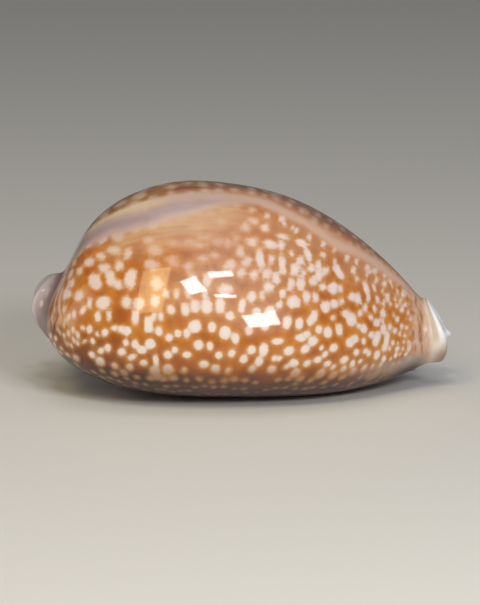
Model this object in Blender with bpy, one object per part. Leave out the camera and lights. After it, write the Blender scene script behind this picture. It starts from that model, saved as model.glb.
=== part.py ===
# Atlantic deer cowrie: one grown, hollow shell lying on its base, the aperture down.
# The blunt rear end is at -X, the narrow front end at +X, the outer lip at -Y and the
# columellar lip at +Y. The origin is on the resting plane, under the middle of the shell.
import math

import bmesh
import bpy
import numpy as np

MM = 0.001

# Lines of the shell in millimetres, as a boat's lines are given, from the rear rim to the
# front rim. Each row is one ring of the shell:
# top x, top z, keel x, keel z, side x, side z, half width near (-Y), half width far (+Y)
LINES = (
    (-46.3, 26.9, -42.7, 9.2, -49.8, 18.8, 6.0, 8.2),
    (-44.6, 27.3, -42.0, 8.5, -47.4, 18.4, 5.8, 8.0),
    (-42.9, 27.6, -41.2, 8.1, -45.0, 17.8, 7.0, 8.4),
    (-41.9, 28.6, -40.4, 7.9, -45.6, 17.3, 10.6, 10.6),
    (-40.9, 30.6, -39.4, 7.4, -45.8, 17.2, 14.2, 13.8),
    (-39.2, 33.9, -38.0, 6.4, -44.2, 17.3, 18.0, 17.6),
    (-36.4, 38.5, -35.5, 4.8, -40.3, 17.8, 22.0, 21.4),
    (-31.5, 43.3, -31.0, 2.7, -34.0, 18.6, 25.4, 25.4),
    (-24.0, 47.3, -24.0, 0.8, -25.5, 19.4, 28.3, 28.3),
    (-14.5, 49.5, -14.5, -0.4, -15.0, 20.0, 29.5, 29.5),
    (-4.5, 49.2, -4.5, -0.7, -4.7, 20.0, 29.6, 29.6),
    (5.5, 47.4, 5.5, -0.7, 5.5, 19.4, 28.6, 28.6),
    (15.0, 44.0, 15.0, -0.5, 15.0, 18.0, 26.0, 26.0),
    (24.0, 38.7, 24.0, 0.3, 24.0, 16.0, 21.7, 21.7),
    (32.0, 32.3, 32.0, 1.8, 31.8, 14.0, 16.0, 16.0),
    (38.0, 26.4, 38.0, 3.4, 37.6, 12.7, 11.0, 11.2),
    (41.2, 22.7, 41.4, 4.7, 41.2, 12.4, 8.4, 8.8),
    (42.8, 21.4, 43.8, 5.8, 43.8, 12.5, 7.4, 7.8),
    (43.6, 21.2, 45.9, 6.1, 46.4, 12.5, 7.1, 7.4),
    (44.4, 20.7, 47.6, 6.4, 48.5, 12.6, 6.4, 6.6),
)
LAST = len(LINES) - 1

# The aperture and the wall, in millimetres, each at chosen rows of LINES:
# row, slit centre y, half gap, depth of the base at the lips, wall, how flat the base is
SLIT = (
    (0, 2.4, 1.6, 2.4, 2.4, 0.02),
    (2, 3.0, 1.6, 3.0, 2.8, 0.02),
    (4, 3.0, 1.7, 3.8, 2.8, 0.05),
    (6, 1.6, 1.9, 4.8, 2.2, 0.09),
    (9, -0.8, 2.2, 5.8, 1.9, 0.11),
    (12, -1.3, 2.8, 5.8, 1.9, 0.11),
    (14, -0.4, 3.0, 4.6, 2.0, 0.09),
    (16, 0.9, 2.7, 3.2, 2.3, 0.05),
    (19, 1.5, 2.2, 2.0, 2.0, 0.02),
)

# The two canals, where the hollow narrows to an end of the shell, at chosen rows of LINES:
# row, opening as a share of the ring, how far this holds, shift along the shell in mm
BORE = (
    (0.0, 0.80, 1.0, 0.0),
    (1.0, 0.45, 1.0, 0.6),
    (2.0, 0.25, 1.0, 2.5),
    (3.0, 0.25, 0.65, 3.0),
    (4.0, 0.25, 0.10, 3.0),
    (4.6, 0.25, 0.0, 3.0),
    (13.6, 0.32, 0.0, 0.0),
    (14.8, 0.32, 0.45, 0.0),
    (16.0, 0.32, 1.0, 0.0),
    (17.3, 0.32, 1.0, 0.0),
    (18.3, 0.50, 1.0, 0.0),
    (19.0, 0.76, 1.0, 0.0),
)

FULL_WIDTH = 30.0       # half width for which the runs below are given, mm
LIP_REACH = 2.6         # how far a lip rounds towards the slit, mm
RIM_ROWS = 0.45         # length of a rim's rounding, in rows of LINES

TEETH = 28              # on each lip
TOOTH_FROM = -37.4      # first and last tooth, keel x in mm
TOOTH_TO = 42.0
TOOTH_HEIGHT = 0.7      # ridge above groove, halved about the lip, mm
TOOTH_RUN = (0.0, 2.0, 4.4)  # points across a lip, mm from its rounding
TOOTH_FADE = (1.0, 0.7, 0.0)  # how much of a ridge is left at each of them
TOOTH_ROWS = (13.0, 15.0)  # rows over which the ridges draw back into the slit at the front

NOTCH_X = -40.9         # small bay in the rear end of the outer lip, keel x in mm
NOTCH_WIDTH = 1.0
NOTCH_DEPTH = 4.6

CREASE_ROW = 3.6        # pit between the rear collar and the outer lip
CREASE_ANGLE = math.radians(-152.0)
CREASE_ROWS = 1.0       # its widths, in rows and in angle
CREASE_WIDTH = math.radians(24.0)
CREASE_DEPTH = 3.0      # mm
CREASE_WAY = (0.35, 0.35, 0.87)

SHOULDER_ROW = 4.0      # where the far wall bulges less to the rear than the near wall
SHOULDER_ROWS = 1.3
SHOULDER_LESS = 0.45    # share of the bulge taken away

SPUR_REACH = 2.2        # tip of the far lobe beyond the front rim, mm
SPUR_ANGLE = math.radians(101.0)
SPUR_WIDTH = math.radians(9.0)

ACROSS = 20             # points of a ring over the sides and the dorsum
LIP_POINTS = 5          # points round a lip


def spline(knots, values, at):
    """Natural cubic spline through rows of values."""
    knots = np.asarray(knots, float)
    values = np.asarray(values, float)
    count = len(knots)
    step = np.diff(knots)
    slope = np.diff(values, axis=0) / step[:, None]
    matrix = np.eye(count)
    right = np.zeros_like(values)
    for i in range(1, count - 1):
        matrix[i, i - 1:i + 2] = step[i - 1], 2 * (step[i - 1] + step[i]), step[i]
        right[i] = 6 * (slope[i] - slope[i - 1])
    bend = np.linalg.solve(matrix, right)
    at = np.clip(at, knots[0], knots[-1])
    i = np.clip(np.searchsorted(knots, at, side="right") - 1, 0, count - 2)
    span = step[i][..., None]
    left = (knots[i + 1] - at)[..., None]
    gone = (at - knots[i])[..., None]
    return (
        bend[i] * left ** 3 / (6 * span)
        + bend[i + 1] * gone ** 3 / (6 * span)
        + (values[i] / span - bend[i] * span / 6) * left
        + (values[i + 1] / span - bend[i + 1] * span / 6) * gone
    )


def ease(value, low, high):
    """0 at low and 1 at high, smooth at both."""
    share = np.clip((value - low) / (high - low), 0, 1)
    return share * share * (3 - 2 * share)


def lines_at(row):
    return np.moveaxis(spline(range(LAST + 1), LINES, row), -1, 0)


def slit_at(row):
    table = np.asarray(SLIT)
    return np.moveaxis(spline(table[:, 0], table[:, 1:], row), -1, 0)


def skin(row, angle, crease=CREASE_DEPTH):
    """Outer skin. The angle is 0 on the dorsum, negative on the near side, pi at the keel."""
    top_x, top_z, keel_x, keel_z, side_x, side_z, near, far = lines_at(row)
    flat = slit_at(row)[4]
    sine, cosine = np.sin(angle), np.cos(angle)
    half = np.where(sine < 0, near, far)
    middle = (top_z + keel_z) / 2
    less = SHOULDER_LESS * np.exp(-((row - SHOULDER_ROW) / SHOULDER_ROWS) ** 2)
    bulge = (side_x - (top_x + keel_x) / 2) * np.where(sine > 0, 1 - less, 1.0)
    x = top_x * (1 + cosine) / 2 + keel_x * (1 - cosine) / 2 + bulge * sine ** 2
    y = half * (sine - flat * np.sin(2 * angle))
    z = (
        (middle + side_z) / 2 + (top_z - keel_z) / 2 * cosine
        + (middle - side_z) / 2 * np.cos(2 * angle)
    )
    spur = np.exp(-((angle - SPUR_ANGLE) / SPUR_WIDTH) ** 2) * np.clip(row - LAST + 1, 0, 1) ** 2
    away = ((row - CREASE_ROW) / CREASE_ROWS) ** 2 + ((angle - CREASE_ANGLE) / CREASE_WIDTH) ** 2
    pit = crease * np.exp(-away)
    right, back, up = CREASE_WAY
    return np.stack([x + SPUR_REACH * spur + right * pit, y + back * pit, z + up * pit], axis=-1)


def inward(row, angle):
    """Unit normal of the skin as it is without its crease, pointing into the hollow."""
    small = 1e-3
    low = np.clip(row - small, 0, LAST)
    high = np.clip(row + small, 0, LAST)
    along = skin(high, angle, 0.0) - skin(low, angle, 0.0)
    around = skin(row, angle + small, 0.0) - skin(row, angle - small, 0.0)
    normal = np.cross(around, along)
    return normal / np.linalg.norm(normal, axis=-1, keepdims=True)


def keel_angle(row, y):
    """Angle from the keel at which the underside has this y."""
    _, _, _, _, _, _, near, far = lines_at(row)
    flat = slit_at(row)[4]
    half = np.where(y < 0, near, far)
    y = np.clip(y, -0.95 * half, 0.95 * half)
    angle = y / (half * (1 + 2 * flat))
    for _ in range(6):
        miss = half * (np.sin(angle) + flat * np.sin(2 * angle)) - y
        angle = angle - miss / (half * (np.cos(angle) + 2 * flat * np.cos(2 * angle)))
    return angle


def columns():
    """Rows at which the rings stand: the rims, the ends, and two for each tooth."""
    fine = np.linspace(0, LAST, 2000)
    keel = lines_at(fine)[2]
    teeth = np.linspace(TOOTH_FROM, TOOTH_TO, 2 * TEETH + 1)
    middle = np.interp(teeth, keel, fine)
    rear = np.concatenate([[0.0, 0.08, 0.25, 0.5], np.linspace(0.9, middle[0], 9)[:-1]])
    front = np.linspace(middle[-1], LAST - 0.5, 5)[1:]
    rim = LAST - np.array([0.25, 0.08, 0.0])
    rows = np.concatenate([rear, middle, front, rim])
    ridge = np.zeros(len(rows))
    ridge[len(rear):len(rear) + len(middle)] = np.where(np.arange(len(middle)) % 2, 0.5, -0.5)
    return rows, ridge * TOOTH_HEIGHT


def ring(row, ridge):
    """Angles and depths round a ring: over the skin, and round each lip, with its middle depth."""
    slit_y, gap, base, wall, _ = slit_at(row)
    keel_x = lines_at(row)[2]
    near_half = lines_at(row)[6]
    notch = NOTCH_DEPTH * math.exp(-((keel_x - NOTCH_X) / NOTCH_WIDTH) ** 2)
    tips = {-1: slit_y - gap - notch, 1: slit_y + gap}
    reach = min(LIP_REACH, 0.75 * base)
    turn = np.linspace(0, math.pi, LIP_POINTS + 2)[1:-1]

    def under(side, beyond):
        """Angle of a point on the underside, so far beyond the tip of the lip."""
        return side * math.pi - keel_angle(row, tips[side] + side * beyond)

    runs = reach + np.asarray(TOOTH_RUN) * near_half / FULL_WIDTH
    near_edge, far_edge = under(-1, runs), under(1, runs)
    over = np.linspace(near_edge[-1], far_edge[-1], ACROSS + 2)[1:-1]
    skin_angle = np.concatenate([near_edge, over, far_edge[::-1]])
    start, end = TOOTH_ROWS
    outer_ridge = ridge * (1 - np.clip((row - start) / (end - start), 0, 1))
    proud = np.concatenate([TOOTH_FADE, np.zeros(ACROSS), TOOTH_FADE[::-1]]) * outer_ridge
    thick = wall + (base - wall) * ease(np.abs(skin_angle) / math.pi, 0.6, 0.9)

    lip_beyond = reach - (reach + ridge) * np.sin(turn)
    lip_depth = base / 2 - (base / 2 + ridge) * np.cos(turn)
    lips = under(-1, lip_beyond), under(1, lip_beyond)
    return skin_angle, -proud, thick + proud, lips, lip_depth, base / 2


def narrowed(row, angle, surface, inner):
    """Inner wall of a ring drawn in to a canal: an arch with straight sides down to the lips."""
    table = np.asarray(BORE)
    share, holds, shift = (np.interp(row, table[:, 0], table[:, i]) for i in (1, 2, 3))
    top_z, keel_z, near, far = lines_at(row)[[1, 3, 6, 7]]
    centre = np.array([0.0, (far - near) / 2, (top_z + keel_z) / 2])

    def drawn_in(points):
        return centre + (points - centre) * [1.0, share, share] + [shift, 0.0, 0.0]

    arch = drawn_in(surface)
    for end in (0, -1):
        low = np.abs(angle) > math.pi / 2
        low &= np.sign(angle) == np.sign(angle[end])
        spring = drawn_in(skin(row, np.sign(angle[end]) * math.pi / 2))
        down = (np.abs(angle) - math.pi / 2) / (abs(angle[end]) - math.pi / 2)
        arch[low] = (spring + (inner[end] - spring) * down[:, None])[low]
    return inner + (arch - inner) * holds


def ring_points(row, ridge):
    """Points of one ring, in metres, rounded shut at the rims and cut flat at the base."""
    skin_angle, outer_depth, inner_depth, lips, lip_depth, lip_middle = ring(row, ridge)
    edge = min(1.0, min(row, LAST - row) / RIM_ROWS)
    swell = math.sqrt(1 - (1 - edge) ** 2)
    rows = np.full(len(skin_angle), row)
    surface, inwards = skin(rows, skin_angle), inward(rows, skin_angle)
    outer = surface + inwards * outer_depth[:, None]
    inner = surface + inwards * inner_depth[:, None]

    inner = narrowed(row, skin_angle, surface, inner)
    middle = (outer + inner) / 2
    outer, inner = middle + (outer - middle) * swell, middle + (inner - middle) * swell
    lip_depth = lip_middle + (lip_depth - lip_middle) * swell
    rows = np.full(len(lip_depth), row)
    near_lip, far_lip = (skin(rows, a) + inward(rows, a) * lip_depth[:, None] for a in lips)
    points = np.concatenate([outer, far_lip, inner[::-1], near_lip[::-1]])
    points[:, 2] = np.maximum(points[:, 2], 0.0)
    return points * MM


def shell_material():
    material = bpy.data.materials.new("shell_enamel")
    material.use_nodes = True
    shader = material.node_tree.nodes["Principled BSDF"]
    shader.inputs["Base Color"].default_value = (0.47, 0.22, 0.08, 1.0)
    shader.inputs["Roughness"].default_value = 0.2
    shader.inputs["Metallic"].default_value = 0.0
    material.diffuse_color = (0.47, 0.22, 0.08, 1.0)
    return material


def make_shell(collection):
    """One loft of C-shaped rings, folded shut along both rims."""
    rings = [ring_points(row, ridge) for row, ridge in zip(*columns())]
    count = len(rings[0])
    mesh = bmesh.new()
    loops = [[mesh.verts.new(point) for point in points] for points in rings]
    for one, two in zip(loops, loops[1:]):
        for i in range(count):
            j = (i + 1) % count
            mesh.faces.new((one[i], one[j], two[j], two[i]))
    bmesh.ops.remove_doubles(mesh, verts=mesh.verts, dist=0.00001)
    bmesh.ops.recalc_face_normals(mesh, faces=mesh.faces)
    data = bpy.data.meshes.new("shell")
    mesh.to_mesh(data)
    mesh.free()
    data.shade_smooth()
    data.materials.append(shell_material())
    shell = bpy.data.objects.new("shell", data)
    collection.objects.link(shell)


def main():
    for item in list(bpy.data.objects):
        bpy.data.objects.remove(item, do_unlink=True)
    collection = bpy.data.collections.new("atlantic_deer_cowrie")
    bpy.context.scene.collection.children.link(collection)
    make_shell(collection)


main()
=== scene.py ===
import math
import bpy
import numpy as np
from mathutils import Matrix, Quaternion, Vector, kdtree, noise


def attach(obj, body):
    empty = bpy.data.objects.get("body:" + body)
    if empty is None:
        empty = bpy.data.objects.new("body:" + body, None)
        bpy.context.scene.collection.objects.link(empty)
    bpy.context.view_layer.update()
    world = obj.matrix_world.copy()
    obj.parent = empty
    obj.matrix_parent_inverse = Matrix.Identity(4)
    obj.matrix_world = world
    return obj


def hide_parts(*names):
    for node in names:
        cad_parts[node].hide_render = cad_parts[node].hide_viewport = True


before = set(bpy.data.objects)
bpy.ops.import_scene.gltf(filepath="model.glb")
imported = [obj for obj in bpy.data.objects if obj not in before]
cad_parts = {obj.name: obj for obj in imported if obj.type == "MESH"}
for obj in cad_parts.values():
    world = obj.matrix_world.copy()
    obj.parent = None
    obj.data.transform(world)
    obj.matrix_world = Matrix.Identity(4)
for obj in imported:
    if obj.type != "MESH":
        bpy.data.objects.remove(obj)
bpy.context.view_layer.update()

mm = 0.001
mmPerMetre = 1000.0

shellForm = {
    # one row for each ring of the shell, from the rear rim to the front rim, in mm:
    # top x, top z, keel x, keel z, side x, side z, half width near (-Y), half width far (+Y)
    "lines": (
        (-46.3, 26.9, -42.7, 9.2, -49.8, 18.8, 6, 8.2),
        (-44.6, 27.3, -42, 8.5, -47.4, 18.4, 5.8, 8),
        (-42.9, 27.6, -41.2, 8.1, -45, 17.8, 7, 8.4),
        (-41.9, 28.6, -40.4, 7.9, -45.6, 17.3, 10.6, 10.6),
        (-40.9, 30.6, -39.4, 7.4, -45.8, 17.2, 14.2, 13.8),
        (-39.2, 33.9, -38, 6.4, -44.2, 17.3, 18, 17.6),
        (-36.4, 38.5, -35.5, 4.8, -40.3, 17.8, 22, 21.4),
        (-31.5, 43.3, -31, 2.7, -34, 18.6, 25.4, 25.4),
        (-24, 47.3, -24, 0.8, -25.5, 19.4, 28.3, 28.3),
        (-14.5, 49.5, -14.5, -0.4, -15, 20, 29.5, 29.5),
        (-4.5, 49.2, -4.5, -0.7, -4.7, 20, 29.6, 29.6),
        (5.5, 47.4, 5.5, -0.7, 5.5, 19.4, 28.6, 28.6),
        (15, 44, 15, -0.5, 15, 18, 26, 26),
        (24, 38.7, 24, 0.3, 24, 16, 21.7, 21.7),
        (32, 32.3, 32, 1.8, 31.8, 14, 16, 16),
        (38, 26.4, 38, 3.4, 37.6, 12.7, 11, 11.2),
        (41.2, 22.7, 41.4, 4.7, 41.2, 12.4, 8.4, 8.8),
        (42.8, 21.4, 43.8, 5.8, 43.8, 12.5, 7.4, 7.8),
        (43.6, 21.2, 45.9, 6.1, 46.4, 12.5, 7.1, 7.4),
        (44.4, 20.7, 47.6, 6.4, 48.5, 12.6, 6.4, 6.6),
    ),
    # row, slit centre y, half gap, depth of the base at the lips, wall, how flat the base is
    "slit": (
        (0, 2.4, 1.6, 2.4, 2.4, 0.02),
        (2, 3, 1.6, 3, 2.8, 0.02),
        (4, 3, 1.7, 3.8, 2.8, 0.05),
        (6, 1.6, 1.9, 4.8, 2.2, 0.09),
        (9, -0.8, 2.2, 5.8, 1.9, 0.11),
        (12, -1.3, 2.8, 5.8, 1.9, 0.11),
        (14, -0.4, 3, 4.6, 2, 0.09),
        (16, 0.9, 2.7, 3.2, 2.3, 0.05),
        (19, 1.5, 2.2, 2, 2, 0.02),
    ),
    # where the hollow narrows to a canal: row, opening as a share of the ring,
    # how far this holds, shift along the shell
    "bore": (
        (0, 0.80, 1, 0),
        (1, 0.45, 1, 0.6),
        (2, 0.25, 1, 2.5),
        (3, 0.25, 0.65, 3),
        (4, 0.25, 0.10, 3),
        (4.6, 0.25, 0, 3),
        (13.6, 0.32, 0, 0),
        (14.8, 0.32, 0.45, 0),
        (16, 0.32, 1, 0),
        (17.3, 0.32, 1, 0),
        (18.3, 0.50, 1, 0),
        (19, 0.76, 1, 0),
    ),
    "lipReach": 2.6,  # how far a lip rounds towards the slit,
    "lipOfBase": 0.75,  # at most as a share of the base's depth
    "rimRows": 0.45,  # length of a rim's rounding, in rows
    "teeth": 28, "toothFrom": -37.4, "toothTo": 42,
    "toothHeight": 0.95,  # the smoothing takes about a quarter of it away
    "toothRun": 4.4, "fullWidth": 30,  # how far a ridge runs over the base, at this half width
    "toothAngle": 1.7, "toothFade": (13, 15),  # only further round than this, ending over these rows
    "keelReach": 0.95,  # share of the half width that counts as underside
    "baseFade": (0.6, 0.9),  # share of the half turn over which the wall thickens
    "notch": (-40.9, 1, 4.6),  # keel x, width and depth of the bay in the near lip
    "spur": (2.2, 101, 9),  # reach of the far lobe's tip, its angle and width
    "crease": (3.6, -152, 1, 24, 3),  # row, angle, both widths and depth of the rear pit
    "creaseWay": (0.35, 0.35, 0.87),  # the way the pit goes in
    "shoulder": (4, 1.3, 0.45),  # row, width and share by which the far wall bulges less
    "lobeRidges": 0.16,  # height of the soft ridges round the front lobe
    "ridgeRows": (15.6, 17), "ridgeSpacing": 0.85, "ridgeAngles": (2.2, 1.9),
    "across": 102, "lipPoints": 9,  # cage points over the skin, and round a lip
    "toothSteps": 4, "rearRings": 24, "frontRings": 16,  # cage rings for each tooth, and at both ends
    "rimSteps": (0, 0.04, 0.1, 0.2, 0.32, 0.5), "rearFrom": 0.7,  # rows from a rim
    "mergeWithin": 0.01,  # mm
    "insideShare": 0.99, "outsideShare": 0.02,  # inner shares that count as inner face and as skin
    "hiddenAngle": 2.5, "hiddenFrom": 1.2,  # up to this angle, this many rows from a rim
    "innerKept": 0.1,  # share of the hidden inner faces that stays
}


def smoothCurve(knots, values, at):
    # natural cubic curve through rows of values
    knots = np.asarray(knots, float)
    values = np.asarray(values, float)
    count = len(knots)
    step = np.diff(knots)
    slope = np.diff(values, axis=0) / step[:, None]
    matrix = np.eye(count)
    right = np.zeros_like(values)
    for i in range(1, count - 1):
        matrix[i, i - 1:i + 2] = step[i - 1], 2 * (step[i - 1] + step[i]), step[i]
        right[i] = 6 * (slope[i] - slope[i - 1])
    bend = np.linalg.solve(matrix, right)
    at = np.clip(at, knots[0], knots[-1])
    i = np.clip(np.searchsorted(knots, at, side="right") - 1, 0, count - 2)
    span = step[i][..., None]
    left = (knots[i + 1] - at)[..., None]
    gone = (at - knots[i])[..., None]
    return (
        bend[i] * left ** 3 / (6 * span)
        + bend[i + 1] * gone ** 3 / (6 * span)
        + (values[i] / span - bend[i] * span / 6) * left
        + (values[i + 1] / span - bend[i + 1] * span / 6) * gone
    )


def smooth(value, low, high):
    # 0 at low, 1 at high, eased
    share = np.clip((value - low) / (high - low), 0, 1)
    return share * share * (3 - 2 * share)


lastRow = len(shellForm["lines"]) - 1


def linesAt(row):
    table = shellForm["lines"]
    return np.moveaxis(smoothCurve(range(lastRow + 1), table, row), -1, 0)


def slitAt(row):
    table = np.asarray(shellForm["slit"])
    return np.moveaxis(smoothCurve(table[:, 0], table[:, 1:], row), -1, 0)


def skinPoint(row, angle, creased=True):
    # angle 0 on the dorsum, negative on the near side, pi at the keel
    topX, topZ, keelX, keelZ, sideX, sideZ, near, far = linesAt(row)
    flat = slitAt(row)[4]
    sine, cosine = np.sin(angle), np.cos(angle)
    half = np.where(sine < 0, near, far)
    middle = (topZ + keelZ) / 2
    x = topX * (1 + cosine) / 2 + keelX * (1 - cosine) / 2
    shoulderRow, shoulderWidth, share = shellForm["shoulder"]
    less = share * np.exp(-((row - shoulderRow) / shoulderWidth) ** 2)
    x = x + (sideX - (topX + keelX) / 2) * sine ** 2 * np.where(sine > 0, 1 - less, 1.0)
    y = half * (sine - flat * np.sin(2 * angle))
    z = (middle + sideZ) / 2 + (topZ - keelZ) / 2 * cosine
    z = z + (middle - sideZ) / 2 * np.cos(2 * angle)
    reach, spurAngle, width = shellForm["spur"]
    spur = np.exp(-((angle - math.radians(spurAngle)) / math.radians(width)) ** 2)
    x = x + reach * spur * np.clip(row - lastRow + 1, 0, 1) ** 2
    creaseRow, creaseAngle, rowWidth, angleWidth, deep = shellForm["crease"]
    away = ((row - creaseRow) / rowWidth) ** 2
    away = away + ((angle - math.radians(creaseAngle)) / math.radians(angleWidth)) ** 2
    pit = deep * np.exp(-away) * creased
    pushX, pushY, pushZ = shellForm["creaseWay"]
    return np.stack([x + pushX * pit, y + pushY * pit, z + pushZ * pit], axis=-1)


def skinDirections(row, angle):
    # unit vectors round the shell, along it and into its hollow, as it is without the crease
    small = 1e-3
    low, high = np.clip(row - small, 0, lastRow), np.clip(row + small, 0, lastRow)
    along = skinPoint(high, angle, False) - skinPoint(low, angle, False)
    around = skinPoint(row, angle + small, False) - skinPoint(row, angle - small, False)
    inward = np.cross(around, along)
    return [v / np.linalg.norm(v, axis=-1, keepdims=True) for v in (around, along, inward)]


def keelAngle(row, y):
    # angle from the keel at which the underside has this y, found in a few steps
    near, far = linesAt(row)[6:]
    flat = slitAt(row)[4]
    half = np.where(y < 0, near, far)
    most = shellForm["keelReach"] * half
    y = np.clip(y, -most, most)
    angle = y / (half * (1 + 2 * flat))
    for _ in range(6):
        miss = half * (np.sin(angle) + flat * np.sin(2 * angle)) - y
        angle = angle - miss / (half * (np.cos(angle) + 2 * flat * np.cos(2 * angle)))
    return angle


def cageRows():
    # rows at which the cage's rings stand, and the height of the teeth there
    form = shellForm
    fine = np.linspace(0, lastRow, 2000)
    count = form["teeth"] * form["toothSteps"] + 1
    teeth = np.linspace(form["toothFrom"], form["toothTo"], count)
    middle = np.interp(teeth, linesAt(fine)[2], fine)
    rim = np.array(form["rimSteps"])
    rear = np.concatenate([rim, np.linspace(form["rearFrom"], middle[0], form["rearRings"])[:-1]])
    front = np.linspace(middle[-1], lastRow - rim[-1], form["frontRings"])[1:]
    rows = np.concatenate([rear, middle, front, lastRow - rim[-2::-1]])
    wave = np.zeros(len(rows))
    turns = np.arange(count) / form["toothSteps"]
    wave[len(rear):len(rear) + count] = -np.cos(2 * np.pi * turns)
    return rows, wave


def cageRing(row, wave):
    # one ring: skin, far lip, inner face, near lip; its seam is on the inner dorsum
    form = shellForm
    slitY, gap, base, wall, _ = slitAt(row)
    keelX = linesAt(row)[2]
    nearHalf = linesAt(row)[6]
    notchX, notchWidth, notchDepth = form["notch"]
    notch = notchDepth * math.exp(-((keelX - notchX) / notchWidth) ** 2)
    tips = {-1: slitY - gap - notch, 1: slitY + gap}
    reach = min(form["lipReach"], form["lipOfBase"] * base)
    height = form["toothHeight"] / 2 * wave
    lipTurn = np.linspace(0, math.pi, form["lipPoints"] + 2)[1:-1]

    def under(side, beyond):
        return side * math.pi - keelAngle(row, tips[side] + side * beyond)

    angle = np.linspace(under(-1, reach), under(1, reach), form["across"])
    y = skinPoint(np.full(len(angle), row), angle)[:, 1]
    beyond = np.where(angle < 0, tips[-1] - y, y - tips[1]) - reach
    run = form["toothRun"] * nearHalf / form["fullWidth"]
    turn = np.abs(angle)
    fade = np.where(turn > form["toothAngle"], 1 - smooth(beyond, 0, run), 0.0)
    fade *= 1 - smooth(row, *form["toothFade"])
    ridges = smooth(row, *form["ridgeRows"]) * np.cos(2 * np.pi * row / form["ridgeSpacing"])
    ridges = ridges * smooth(turn, *form["ridgeAngles"])
    proud = height * fade + form["lobeRidges"] / 2 * ridges
    underShare = smooth(turn / math.pi, *form["baseFade"])
    thick = wall + (base - wall) * underShare

    rows = np.full(len(angle), row)
    surface, inwards = skinPoint(rows, angle), skinDirections(rows, angle)[2]
    outer = surface - inwards * proud[:, None]
    hollow = surface + inwards * (thick + height * fade)[:, None]
    table = np.asarray(form["bore"])
    share, holds, shift = (np.interp(row, table[:, 0], table[:, i]) for i in (1, 2, 3))
    _, topZ, _, keelZ, _, _, near, far = linesAt(row)
    centre = np.array([0, (far - near) / 2, (topZ + keelZ) / 2])
    arch = centre + (surface - centre) * [1, share, share] + [shift, 0, 0]
    for end in (0, -1):
        side = math.copysign(math.pi / 2, angle[end])
        low = (np.abs(angle) > math.pi / 2) & (np.sign(angle) == np.sign(side))
        spring = centre + (skinPoint(row, side) - centre) * [1, share, share] + [shift, 0, 0]
        down = (np.abs(angle) - math.pi / 2) / (abs(angle[end]) - math.pi / 2)
        arch[low] = (spring + (hollow[end] - spring) * down[:, None])[low]
    hollow = hollow + (arch - hollow) * holds
    edge = min(1.0, min(row, lastRow - row) / form["rimRows"])
    swell = math.sqrt(1 - (1 - edge) ** 2)
    middle = (outer + hollow) / 2
    outer, hollow = middle + (outer - middle) * swell, middle + (hollow - middle) * swell

    lipBeyond = reach - (reach + height) * np.sin(lipTurn)
    lipDepth = (base / 2 - (base / 2 + height * swell) * swell * np.cos(lipTurn))[:, None]
    nearLip, farLip = under(-1, lipBeyond), under(1, lipBeyond)
    lipRows = np.full(len(lipTurn), row)
    nearPoints, farPoints = (
        skinPoint(lipRows, a) + skinDirections(lipRows, a)[2] * lipDepth for a in (nearLip, farLip))
    points = np.concatenate([outer, farPoints, hollow[::-1], nearPoints[::-1]])
    ringAngle = np.concatenate([angle, farLip, angle[::-1], nearLip[::-1]])
    lipShare = lipTurn / math.pi
    inner = np.concatenate([0 * angle, lipShare, 0 * angle + 1, lipShare[::-1]])
    teeth = np.concatenate([fade, 0 * lipShare + 1, fade[::-1], 0 * lipShare + 1]) * wave
    rows = np.full(len(ringAngle), row)
    ring = np.column_stack([points, rows, ringAngle, inner, teeth])
    start = len(angle) + len(lipTurn) + len(angle) // 2
    ring = np.roll(ring, -start, axis=0)
    return np.vstack([ring, ring[:1]])


def selectNothing():
    if bpy.context.object and bpy.context.object.mode != "OBJECT":
        bpy.ops.object.mode_set(mode="OBJECT")
    bpy.ops.object.select_all(action="DESELECT")


def readPoints(mesh):
    points = np.empty(len(mesh.vertices) * 3)
    mesh.vertices.foreach_get("co", points)
    return points.reshape(-1, 3)


def readAttribute(mesh, name):
    values = np.empty(len(mesh.vertices))
    mesh.attributes[name].data.foreach_get("value", values)
    return values


def writeAttribute(mesh, name, values):
    attribute = mesh.attributes.get(name) or mesh.attributes.new(name, "FLOAT", "POINT")
    attribute.data.foreach_set("value", np.asarray(values, np.float32))


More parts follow.
